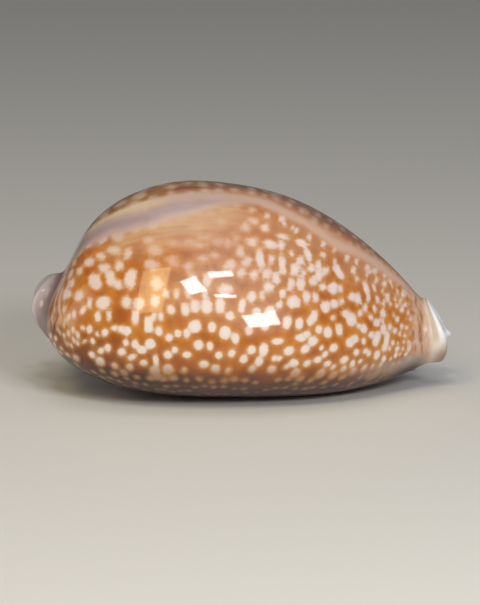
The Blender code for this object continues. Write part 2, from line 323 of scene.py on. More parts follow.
def makeShell():
    rows, wave = cageRows()
    rings = np.array([cageRing(row, height) for row, height in zip(rows, wave)])
    ringCount, pointCount = rings.shape[:2]
    selectNothing()
    bpy.ops.mesh.primitive_grid_add(
        x_subdivisions=ringCount - 1, y_subdivisions=pointCount - 1, size=1, calc_uvs=False)
    shell = bpy.context.object
    shell.name = shell.data.name = "cowrieShell"
    mesh = shell.data
    # each point of the grid goes to its place on its ring
    flat = readPoints(mesh)
    column = np.rint((flat[:, 0] + 0.5) * (ringCount - 1)).astype(int)
    place = np.rint((flat[:, 1] + 0.5) * (pointCount - 1)).astype(int)
    placed = rings[column, place]
    placed[:, 2] = np.maximum(placed[:, 2], 0)
    mesh.vertices.foreach_set("co", (placed[:, :3] * mm).ravel())
    for i, name in enumerate(("shellRow", "shellAngle", "innerShare", "toothWave")):
        writeAttribute(mesh, name, placed[:, 3 + i])
    bpy.ops.object.mode_set(mode="EDIT")
    bpy.ops.mesh.select_all(action="SELECT")
    bpy.ops.mesh.remove_doubles(threshold=shellForm["mergeWithin"] * mm)
    bpy.ops.mesh.normals_make_consistent(inside=False)
    bpy.ops.object.mode_set(mode="OBJECT")
    modifier = shell.modifiers.new("Subdivision", "SUBSURF")
    modifier.levels = modifier.render_levels = 1
    bpy.ops.object.modifier_apply(modifier=modifier.name)
    # the hidden inner faces need few triangles
    hidden = readAttribute(mesh, "innerShare") > shellForm["insideShare"]
    hidden &= np.abs(readAttribute(mesh, "shellAngle")) < shellForm["hiddenAngle"]
    rowOf = readAttribute(mesh, "shellRow")
    hidden &= (rowOf > shellForm["hiddenFrom"]) & (rowOf < lastRow - shellForm["hiddenFrom"])
    bpy.ops.object.mode_set(mode="EDIT")
    bpy.ops.mesh.select_mode(type="VERT")
    bpy.ops.mesh.select_all(action="DESELECT")
    bpy.ops.object.mode_set(mode="OBJECT")
    mesh.vertices.foreach_set("select", hidden)
    bpy.ops.object.mode_set(mode="EDIT")
    bpy.ops.mesh.decimate(ratio=shellForm["innerKept"])
    bpy.ops.object.mode_set(mode="OBJECT")
    # the flats that the shell rests on
    points = readPoints(mesh)
    points[:, 2] = np.maximum(points[:, 2], 0)
    mesh.vertices.foreach_set("co", points.ravel())
    bpy.ops.object.shade_smooth()
    mesh.update()
    return shell


print("shell: shaping the cage")
shell = makeShell()
print("shell:", len(shell.data.polygons), "faces")


def seen(red, green, blue):
    # a colour as seen, 0 to 255, with the screen's usual curve undone for a shader
    shares = [c / 255 for c in (red, green, blue)]
    return tuple(c / 12.92 if c < 0.04045 else ((c + 0.055) / 1.055) ** 2.4 for c in shares) + (1.0,)


studio = {
    "floorRadius": 3.0, "floorSides": 96, "floorRoughness": 0.75,
    "floor": seen(226, 224, 220), "floorFibre": seen(214, 212, 208),
    "fibreNoise": (400.0, 4.0), "fibreShare": 0.15,  # scale and detail
    "world": (0.92, 0.95, 1.0, 1.0), "worldStrength": 0.13,
    "lens": 250.0, "sensor": 36.0,  # mm, the sensor along the picture's longer side
    "picture": (480, 605),  # width and height of the photo, in pixels
    "distance": 0.998, "elevation": 12.0, "aim": (-0.00060, 0.0, 0.02042), "clipStart": 0.01,
    "panelAim": (0.0, 0.0, 0.02),
    # name, centre, width, height, roll in degrees, power, colour
    "panels": (
        ("rightPanel", (0.256, -0.593, 0.35), 0.22, 0.13, 8.0, 2.1, (0.97, 0.98, 1.0)),
        ("smallPanel", (-0.046, -0.481, 0.56), 0.07, 0.10, 30.0, 0.6, (0.95, 0.98, 1.0)),
        ("upperPanel", (0.065, -0.409, 0.612), 0.09, 0.035, 12.0, 0.28, (0.95, 0.98, 1.0)),
        ("slimPanel", (0.076, -0.52, 0.518), 0.08, 0.02, 0.0, 0.15, (0.95, 0.98, 1.0)),
        ("warmPanel", (-0.235, -0.475, 0.528), 0.16, 0.32, 14.0, 1.1, (1.0, 0.8, 0.4)),
        ("topPanel", (0.0, -0.05, 0.9), 0.7, 0.5, 0.0, 0.95, (1.0, 0.98, 0.96)),
        ("leftPanel", (-0.75, -0.15, 0.35), 0.3, 0.4, 0.0, 0.5, (1.0, 0.97, 0.93)),
    ),
}

markings = {
    "seed": 11,
    # middle of the mantle line: row, angle in degrees
    "mantleLine": (
        (0, 0), (3, -2), (5.1, -15), (6.9, -25), (8.5, -28), (9.6, -23),
        (10.7, -18), (11.7, -23), (12.6, -28), (13.9, -24), (15.0, -19), (19, -21),
    ),
    # rows of spots on both sides of it
    "rowOffset": 9.0, "rowStep": 8.3,  # degrees to the first row, and between rows
    "waveRows": 3,  # rows over which the bends of the mantle line die out
    "spacing": 3.35, "spacingRange": (0.85, 1.2),  # between spots in a row, mm, and its shares
    "clear": 0.74,  # share of the spacing that stays free round a spot
    "radius": 1.06,
    "lowest": 141.0,  # angle at which the spots end above the base
    "rearRow": 3.2, "nearRow": 4.5, "frontRow": 15.9,  # the rows on the near side start at nearRow
    "firstGap": 3.0,  # a row starts up to this far from its end, mm
    "jitter": 0.022, "lowJitter": 1.6, "jitterRange": (1.9, 2.2),  # radians, and how much more low down
    "radiusRange": (0.75, 0.5), "toneRange": (0.8, 0.25), "slantRange": 0.5,  # least, and how much more
    "twins": 0.16, "twinReach": (1.1, 0.5), "twinRadius": 0.85,  # second spots that run into the first
    # how a spot is drawn, in mm
    "melt": 0.22,  # how far neighbouring spots run together
    "gapLimit": 3.0, "beyond": 2.2,  # distances are kept up to here, and looked for this far from an edge
    "squareFrom": 1.2, "squareOver": 0.4, "squareMore": 0.8,  # long spots get squarer ends
    "plainTone": 0.8, "plainSoft": 0.4,  # away from all spots
    # where they change, in mm, radians or shares of the way down from the mantle line;
    # the faint ones are on the near side, the dim ones on the far side
    "leftRange": (12, 24), "rightRange": (-4, 12), "upperRange": (0.3, 0.55), "marginRange": (0.74, 0.9),
    "faintDown": (0.2, 0.4), "faintRear": (-26, -16), "faintFront": (-4, 6), "dimDown": (0.22, 0.42),
    # and how
    "fullSizeAt": 24,  # half width of the shell, mm
    "leastSize": 0.5,
    "patchSize": 14,  # mm, of patches with larger or smaller spots
    "patchDown": 60,
    "radiusBy": (0.25, 0.45, 0.6, 0.12),  # patches, upper left, less on the margin, less on the right
    "spacingBy": (0.3, 0.35),  # upper left, less on the margin
    "stretchBy": (1.1, 0.55, 0.15),  # plain, upper right, less on the margin
    "slantLeft": 0.35,
    "strengthBy": (0.22, 0.9, 0.45),  # less high up, not so on the right, less on the margin
    "softBy": (0.52, 0.5, 0.7, 0.15),  # plain, high up, not so on the right, on the margin
    "faintBy": (0.6, 0.45, 0.5),  # less stretch, less strength, softer
    "dimBy": (0.4, 0.25, 0.5),  # less strength, more so on the right, softer
    # the spots told apart: where their row and angle are looked for, from, to and steps
    "searchRows": (2.6, 18.4, 420), "searchAngles": (-150, 15, 330),
    "grazing": 0.05, "leastAcross": 0.8, "leastUp": 0.7,  # how far a spot may be foreshortened
    "rearRange": (33, 41), "blotchRange": (14, 24), "blotchAngles": (-1.3, -1.0),
    "placedBy": (1.03, 0.2, 0.18, 0.25),  # plain size, less at the rear, blotches, weaker at the rear
    # spots told apart on two enlarged crops of the photo, each with its corner in pixels:
    # place, width and height in the crop, and lean in degrees
    "zoom": 7,
    "leftCorner": (30, 180),
    "leftSpots": (
        (190, 1040, 22, 40, -20), (212, 1068, 22, 50, -25), (238, 1085, 20, 56, -25),
        (268, 1075, 24, 56, -20), (306, 1050, 30, 60, -15), (337, 1085, 28, 62, -15),
        (303, 1118, 24, 56, -25), (330, 1140, 26, 44, -20), (252, 1145, 18, 44, -30),
        (288, 1160, 22, 50, -30), (270, 955, 26, 56, -10), (306, 940, 34, 76, -10),
        (258, 985, 22, 50, -15), (232, 1010, 20, 46, -15), (520, 615, 60, 55), (560, 680, 62, 90),
        (625, 600, 50, 60), (455, 712, 72, 100, -20), (515, 858, 100, 88), (340, 805, 72, 70),
        (415, 575, 75, 60, -20), (350, 640, 40, 60), (700, 690, 66, 110, 20), (610, 735, 60, 60),
        (690, 515, 50, 65), (590, 490, 90, 50, 20), (500, 530, 50, 45), (415, 860, 35, 70),
        (470, 960, 40, 65), (370, 915, 64, 46, -40), (555, 950, 35, 60), (670, 855, 75, 80),
        (735, 960, 50, 90), (830, 1010, 60, 110), (870, 955, 40, 60, 20), (920, 955, 40, 60),
        (905, 1060, 50, 60), (970, 1105, 55, 60), (1040, 1075, 52, 52), (1100, 1075, 50, 65),
        (1160, 1025, 88, 88), (1275, 1035, 60, 70), (1370, 1065, 75, 95), (1440, 1110, 55, 75),
        (1180, 1150, 65, 70), (1260, 1165, 45, 60), (1015, 1190, 45, 50), (960, 1222, 65, 55),
        (1095, 1222, 58, 45), (1320, 1225, 50, 50), (1415, 1215, 45, 50), (1495, 1255, 45, 45),
        (885, 1260, 40, 80), (840, 1150, 72, 76, 20), (785, 1190, 70, 55), (735, 1150, 50, 60, -20),
        (675, 1140, 45, 50), (645, 1205, 60, 52, -40), (715, 1235, 66, 36, -30), (800, 1280, 52, 42, -30),
        (545, 1175, 45, 55), (490, 1195, 52, 42, -30), (525, 1070, 50, 55), (470, 1080, 32, 40),
        (440, 1125, 35, 45), (415, 1040, 45, 60), (370, 1035, 35, 45), (380, 1130, 40, 28, -30),
        (960, 795, 36, 50), (1025, 800, 40, 66), (985, 905, 60, 70, -20), (1085, 905, 60, 90),
        (1155, 875, 60, 90), (1240, 890, 75, 100), (1330, 880, 65, 110), (1405, 950, 60, 60),
        (1480, 880, 50, 100, 10), (1215, 1290, 60, 50), (1240, 700, 60, 90), (1365, 770, 104, 80),
        (1470, 500, 50, 80, -10), (1445, 415, 45, 60), (1510, 330, 60, 60), (1385, 440, 60, 60),
        (1400, 600, 90, 76), (640, 1045, 56, 56), (685, 1060, 56, 60), (590, 1035, 44, 40),
        (1340, 290, 76, 46), (1180, 455, 130, 36),
    ),
    "rightCorner": (240, 180),
    "rightSpots": (
        (170, 335, 60, 55), (85, 430, 85, 62, -20), (140, 560, 56, 150, -12), (210, 450, 96, 60),
        (310, 395, 86, 38), (430, 440, 100, 50, 10), (360, 515, 45, 50), (475, 525, 42, 90, -25),
        (300, 595, 54, 130, -5), (425, 565, 60, 60), (380, 625, 70, 80), (450, 640, 50, 60),
        (495, 620, 45, 50), (550, 600, 45, 80, -10), (605, 635, 50, 60), (690, 640, 56, 115, -38),
        (545, 670, 45, 70), (220, 560, 45, 66), (255, 690, 60, 80), (195, 745, 60, 80),
        (365, 730, 50, 75), (430, 725, 65, 80), (505, 710, 50, 66), (580, 745, 45, 60),
        (650, 755, 70, 90), (697, 755, 40, 60), (375, 850, 95, 90), (470, 825, 50, 80),
        (535, 825, 50, 65), (600, 885, 75, 85, 20), (665, 865, 50, 60), (715, 850, 40, 50),
        (785, 815, 60, 56), (825, 835, 60, 80, -10), (300, 790, 40, 60), (280, 865, 45, 60),
        (80, 820, 60, 80), (155, 820, 50, 60), (325, 1000, 65, 90), (415, 1005, 60, 85),
        (485, 990, 45, 60), (525, 950, 50, 75), (655, 960, 40, 40), (550, 1045, 50, 55),
        (615, 1065, 60, 80), (695, 1045, 48, 80, -15), (780, 970, 66, 100, -25), (745, 935, 55, 50),
        (880, 900, 40, 50), (945, 900, 35, 45), (960, 995, 55, 60), (915, 955, 35, 50),
        (1000, 930, 50, 60), (840, 935, 35, 50), (865, 1045, 48, 60, -20), (830, 1020, 30, 32),
        (920, 1080, 45, 50), (1005, 1045, 40, 60), (1050, 1035, 30, 50), (1085, 1055, 30, 45),
        (960, 1110, 50, 110, 20), (1025, 1130, 34, 120, 8), (770, 1140, 60, 62), (808, 1112, 50, 56),
        (430, 1105, 76, 56), (515, 1130, 70, 66), (465, 1080, 56, 46), (270, 1130, 88, 46),
        (340, 1195, 70, 62), (460, 1185, 58, 58), (570, 1175, 35, 35), (590, 1225, 45, 48),
        (655, 1178, 54, 54), (815, 1210, 45, 48), (875, 1195, 40, 34), (905, 1215, 28, 38),
        (960, 1225, 42, 56, 10), (735, 1260, 54, 50), (785, 1285, 38, 50), (840, 1268, 34, 34),
        (90, 1185, 60, 64), (170, 1190, 60, 90), (25, 1258, 45, 50), (135, 1270, 60, 60),
        (238, 1248, 40, 40), (276, 1248, 40, 40), (378, 1282, 70, 56, 10), (325, 1305, 50, 34),
        (470, 1285, 50, 50), (540, 1262, 60, 50), (610, 1285, 44, 38, 20), (650, 1310, 34, 30),
        (85, 1322, 48, 48), (885, 760, 40, 96, -28), (940, 755, 28, 52, -25), (790, 630, 34, 50),
        (1030, 815, 38, 60, -10), (970, 840, 34, 50), (1135, 905, 32, 60), (1100, 980, 24, 48),
    ),
}


def mantleAngle(row):
    knots = np.asarray(markings["mantleLine"], float)
    return np.radians(smoothCurve(knots[:, 0], knots[:, 1:], row)[..., 0])


def shareOf(value, name):
    # how far a value has come along this range of the markings
    return float(smooth(value, *markings[name]))


def spotHabit(row, angle, x, y):
    # size, spacing, stretch, slant, strength and softness of the spots round a place
    line, lowest = mantleAngle(row), math.radians(markings["lowest"])
    near = angle < line
    if near:
        down = (abs(angle) - abs(line)) / (lowest - abs(line))
    else:
        down = (angle - line) / (lowest - line)
    down = float(np.clip(down, 0, 1))
    wide = float(np.clip(linesAt(row)[6] / markings["fullSizeAt"], markings["leastSize"], 1))
    left, right = shareOf(-x, "leftRange"), shareOf(x, "rightRange")
    upper = 1 - shareOf(down, "upperRange")
    margin = shareOf(down, "marginRange")
    patch = noise.noise(Vector((x, y, markings["patchDown"] * down)) / markings["patchSize"])
    byPatch, byUpperLeft, lessMargin, lessRight = markings["radiusBy"]
    radius = markings["radius"] * wide * (1 + byPatch * patch + byUpperLeft * left * upper)
    radius *= (1 - lessMargin * margin) * (1 - lessRight * right)
    byUpperLeft, lessMargin = markings["spacingBy"]
    spacing = markings["spacing"] * wide * (1 + byUpperLeft * left * upper) * (1 - lessMargin * margin)
    plain, byUpperRight, lessMargin = markings["stretchBy"]
    stretch = plain + byUpperRight * right * upper - lessMargin * margin
    slant = markings["slantLeft"] * left
    lessUpper, notRight, lessMargin = markings["strengthBy"]
    strength = 1 - lessUpper * upper * (1 - notRight * right) - lessMargin * margin
    plain, byUpper, notRight, byMargin = markings["softBy"]
    soft = plain + byUpper * upper * (1 - notRight * right) + byMargin * margin
    if near:
        faint = (1 - shareOf(down, "faintDown")) * shareOf(x, "faintRear") * (1 - shareOf(x, "faintFront"))
        lessStretch, lessStrength, softer = markings["faintBy"]
        stretch -= lessStretch * faint
        strength -= lessStrength * faint
        soft += softer * faint
    else:
        dim = 1 - shareOf(down, "dimDown")
        lessStrength, lessRight, softer = markings["dimBy"]
        strength -= (lessStrength + lessRight * right) * dim
        soft += softer * dim
    return radius, spacing, stretch, slant, strength, soft


def placeSpots():
    # the spots told apart, brought from the picture's plane to the skin
    rows = np.linspace(*markings["searchRows"])
    angles = np.radians(np.linspace(*markings["searchAngles"]))
    gridRow, gridAngle = (g.ravel() for g in np.meshgrid(rows, angles, indexing="ij"))
    points = skinPoint(gridRow, gridAngle)
    rise = math.radians(studio["elevation"])
    right, up = np.array([1, 0, 0]), np.array([0, math.sin(rise), math.cos(rise)])
    back = np.array([0, -math.cos(rise), math.sin(rise)])
    away = points - np.array(studio["aim"]) * mmPerMetre
    depth = studio["distance"] * mmPerMetre - away @ back
    pixelsWide, pixelsHigh = studio["picture"]
    scale = studio["lens"] / studio["sensor"] * pixelsHigh / depth
    seenX, seenY = pixelsWide / 2 + away @ right * scale, pixelsHigh / 2 - away @ up * scale
    facing = skinDirections(gridRow, gridAngle)[2] @ back < -markings["grazing"]
    plain, lessRear, more, weaker = markings["placedBy"]
    spots = []
    zoom = markings["zoom"]
    readings = [(side, spot) for side in ("left", "right") for spot in markings[side + "Spots"]]
    for side, (x, y, width, height, *lean) in readings:
        cornerX, cornerY = markings[side + "Corner"]
        x, y, width, height = cornerX + x / zoom, cornerY + y / zoom, width / zoom, height / zoom
        i = int(np.argmin((seenX - x) ** 2 + (seenY - y) ** 2 + np.where(facing, 0, np.inf)))
        row, angle = float(gridRow[i]), float(gridAngle[i])
        around, along, _ = skinDirections(np.array(row), np.array(angle))
        acrossShare = max(markings["leastAcross"], math.hypot(along @ right, along @ up))
        upShare = max(markings["leastUp"], math.hypot(around @ right, around @ up))
        across, tall = width / 2 / scale[i] / acrossShare, height / 2 / scale[i] / upShare
        strength, soft = spotHabit(row, angle, *points[i][:2])[4:]
        rear = shareOf(-points[i][0], "rearRange")
        blotch = shareOf(-points[i][0], "blotchRange") * shareOf(angle, "blotchAngles")
        radius = (plain - lessRear * rear + more * blotch) * math.sqrt(across * tall)
        strength *= 1 - weaker * rear
        slant = math.radians(lean[0]) if lean else 0.0
        spots.append((row, angle, radius, tall / across, slant, strength, soft))
    return spots


def twinOf(spot, direction, reach):
    # a second spot that runs into this one
    row, angle, radius, *rest = spot
    centre = skinPoint(row, angle)
    rowNudge, angleNudge = 0.05, 0.01
    perRow = np.linalg.norm(skinPoint(row + rowNudge, angle) - centre) / rowNudge
    perAngle = np.linalg.norm(skinPoint(row, angle + angleNudge) - centre) / angleNudge
    row += reach * math.cos(direction) / perRow
    angle += reach * math.sin(direction) / perAngle
    return (row, angle, radius * markings["twinRadius"], *rest)


def scatterSpots():
    # rows of spots on both sides of the mantle line, each row filled from the rear
    rng = np.random.default_rng(markings["seed"])
    fine = np.linspace(markings["rearRow"], markings["frontRow"], 400)
    lineAngle = mantleAngle(fine)
    lineMean = lineAngle.mean()
    lowest = math.radians(markings["lowest"])
    leastRadius, moreRadius = markings["radiusRange"]
    leastTone, moreTone = markings["toneRange"]
    leastReach, moreReach = markings["twinReach"]
    spots = placeSpots()
    places = np.array([skinPoint(spot[0], spot[1]) for spot in spots])
    for side in (-1, 1):
        k = 0
        while True:
            offset = side * math.radians(markings["rowOffset"] + markings["rowStep"] * k)
            if abs(lineMean + offset) > lowest:
                break
            angle = lineMean + offset + (lineAngle - lineMean) * math.exp(-k / markings["waveRows"])
            steps = np.linalg.norm(np.diff(skinPoint(fine, angle), axis=0), axis=1)
            length = np.concatenate([[0], np.cumsum(steps)])
            gone = rng.uniform(0, markings["firstGap"])
            while gone < length[-1]:
                row = float(np.interp(gone, length, fine))
                theta = float(np.interp(gone, length, angle))
                lower = shareOf(abs(theta), "jitterRange")
                theta += rng.normal(0, markings["jitter"]) * (1 + markings["lowJitter"] * lower)
                place = skinPoint(row, theta)
                radius, spacing, stretch, slant, strength, soft = spotHabit(row, theta, *place[:2])
                gone += spacing * rng.uniform(*markings["spacingRange"])
                draw = rng.random(6)
                if np.min(np.linalg.norm(places - place, axis=1)) < markings["clear"] * spacing:
                    continue
                if side < 0 and row < markings["nearRow"]:
                    continue
                places = np.vstack([places, place])
                radius *= leastRadius + moreRadius * draw[0]
                tone = strength * (leastTone + moreTone * draw[1])
                slant += markings["slantRange"] * (draw[2] - 0.5)
                spots.append((row, theta, radius, stretch, slant, tone, soft))
                if draw[3] < markings["twins"]:
                    reach = radius * (leastReach + moreReach * draw[5])
                    spots.append(twinOf(spots[-1], 2 * math.pi * draw[4], reach))
            k += 1
    return spots


def paintSpots(mesh, points, outside):
    # signed distance to the edge of the nearest spots in mm, their tone and softness
    chosen = np.flatnonzero(outside)
    tree = kdtree.KDTree(len(chosen))
    for i in chosen:
        tree.insert(points[i], i)
    tree.balance()
    weight, tones, softs = np.zeros((3, len(points)))
    melt, limit = markings["melt"], markings["gapLimit"]
    spots = scatterSpots()
    for row, angle, radius, stretch, slant, tone, soft in spots:
        row = float(np.clip(row, 0, lastRow))
        centre = skinPoint(row, angle)
        around, along, _ = skinDirections(np.array(row), np.array(angle))
        longer = radius * math.sqrt(stretch)
        shorter = radius / math.sqrt(stretch)
        reach = max(longer, shorter) + markings["beyond"]
        found = np.array([i for _, i, _ in tree.find_range(Vector(centre), reach)])
        if not len(found):
            continue
        offset = points[found] - centre
        up, across = offset @ around, offset @ along
        sine, cosine = math.sin(slant), math.cos(slant)
        up, across = np.abs(up * cosine + across * sine), np.abs(across * cosine - up * sine)
        square = min(1, max(0, (stretch - markings["squareFrom"]) / markings["squareOver"]))
        power = 2 + markings["squareMore"] * square
        share = ((up / longer) ** power + (across / shorter) ** power) ** (1 / power)
        far = (share - 1) * math.sqrt(longer * shorter)
        gain = np.exp(-np.clip(far, -limit, limit) / melt)
        weight[found] += gain
        tones[found] += gain * tone
        softs[found] += gain * soft
    known = weight > 0
    gap = np.full(len(points), limit)
    gap[known] = np.clip(-melt * np.log(weight[known]), -limit, limit)
    weight = np.where(known, weight, 1.0)
    writeAttribute(mesh, "spotGap", gap)
    writeAttribute(mesh, "spotTone", np.where(known, tones / weight, markings["plainTone"]))
    writeAttribute(mesh, "spotSoft", np.where(known, softs / weight, markings["plainSoft"]))
    return len(spots)


def paintLines(mesh, row, angle):
    # distance in mm round the shell from the mantle line, positive on the near side,
    # from a table with a column for each degree
    rowCount, degrees, bit = 96, 182, 0.001
    tableRows = np.linspace(0, lastRow, rowCount)
    tableAngles = np.radians(np.linspace(-degrees, degrees, 2 * degrees + 1))
    gridPoints = skinPoint(*np.meshgrid(tableRows, tableAngles, indexing="ij"))
    steps = np.linalg.norm(np.diff(gridPoints, axis=1), axis=-1)
    arc = np.concatenate([np.zeros((rowCount, 1)), np.cumsum(steps, axis=1)], axis=1)

    def arcAt(rows, angles):
        i = np.clip(rows / lastRow * (rowCount - 1), 0, rowCount - 1 - bit)
        j = np.clip(np.degrees(angles) + degrees, 0, 2 * degrees - bit)
        i0, j0 = i.astype(int), j.astype(int)
        di, dj = i - i0, j - j0
        return (
            arc[i0, j0] * (1 - di) * (1 - dj) + arc[i0 + 1, j0] * di * (1 - dj)
            + arc[i0, j0 + 1] * (1 - di) * dj + arc[i0 + 1, j0 + 1] * di * dj)

    writeAttribute(mesh, "lineGap", arcAt(row, mantleAngle(row)) - arcAt(row, angle))


print("shell: scattering the spots")
shellPoints = readPoints(shell.data) / mm
outside = readAttribute(shell.data, "innerShare") < shellForm["outsideShare"]
spotCount = paintSpots(shell.data, shellPoints, outside)
paintLines(shell.data, readAttribute(shell.data, "shellRow"), readAttribute(shell.data, "shellAngle"))
print("shell:", spotCount, "spots")


class Wire:
    # one output socket of a finish; maths on it adds Math nodes
    def __init__(self, finish, socket):
        self.finish = finish
        self.socket = socket

    def maths(self, operation, *values):
        return self.finish.node("ShaderNodeMath", {"operation": operation}, dict(enumerate(values)))

    def __add__(self, other):
        return self.maths("ADD", self, other)

    def __radd__(self, other):
        return self.maths("ADD", other, self)

    def __sub__(self, other):
        return self.maths("SUBTRACT", self, other)

    def __rsub__(self, other):
        return self.maths("SUBTRACT", other, self)

    def __mul__(self, other):
        return self.maths("MULTIPLY", self, other)

    def __rmul__(self, other):
        return self.maths("MULTIPLY", other, self)

    def __abs__(self):
        return self.maths("ABSOLUTE", self)


class Finish:
    def __init__(self, name):
        self.material = bpy.data.materials.new(name)
        self.material.use_nodes = True
        self.tree = self.material.node_tree
        self.shader = self.tree.nodes["Principled BSDF"]

    def node(self, kind, settings, values, output=""):
        node = self.tree.nodes.new(kind)
        for key, value in settings.items():
            setattr(node, key, value)
        self.fill([s for s in node.inputs if not s.is_unavailable], values)
        outputs = [s for s in node.outputs if not s.is_unavailable]
        return Wire(self, next(s for s in outputs if output in ("", s.name)))

    def fill(self, sockets, values):
        for key, value in values.items():
            socket = sockets[key] if isinstance(key, int) else next(s for s in sockets if s.name == key)
            if isinstance(value, Wire):
                self.tree.links.new(value.socket, socket)
            else:
                socket.default_value = value

    def noise(self, vector, scale, detail=2.0, roughness=0.5):
        values = {"Vector": vector, "Scale": scale, "Detail": detail, "Roughness": roughness}
        return self.node("ShaderNodeTexNoise", {}, values)

    def ease(self, value, low, high):
        # 0 at low, 1 at high
        values = {"Value": value, "From Min": low, "From Max": high}
        return self.node("ShaderNodeMapRange", {"interpolation_type": "SMOOTHSTEP"}, values)

    def mix(self, mask, one, two):
        values = {"Factor": mask, "A": one, "B": two}
        return self.node("ShaderNodeMix", {"data_type": "RGBA"}, values)

    def vector(self, x, y, z):
        return self.node("ShaderNodeCombineXYZ", {}, {0: x, 1: y, 2: z})


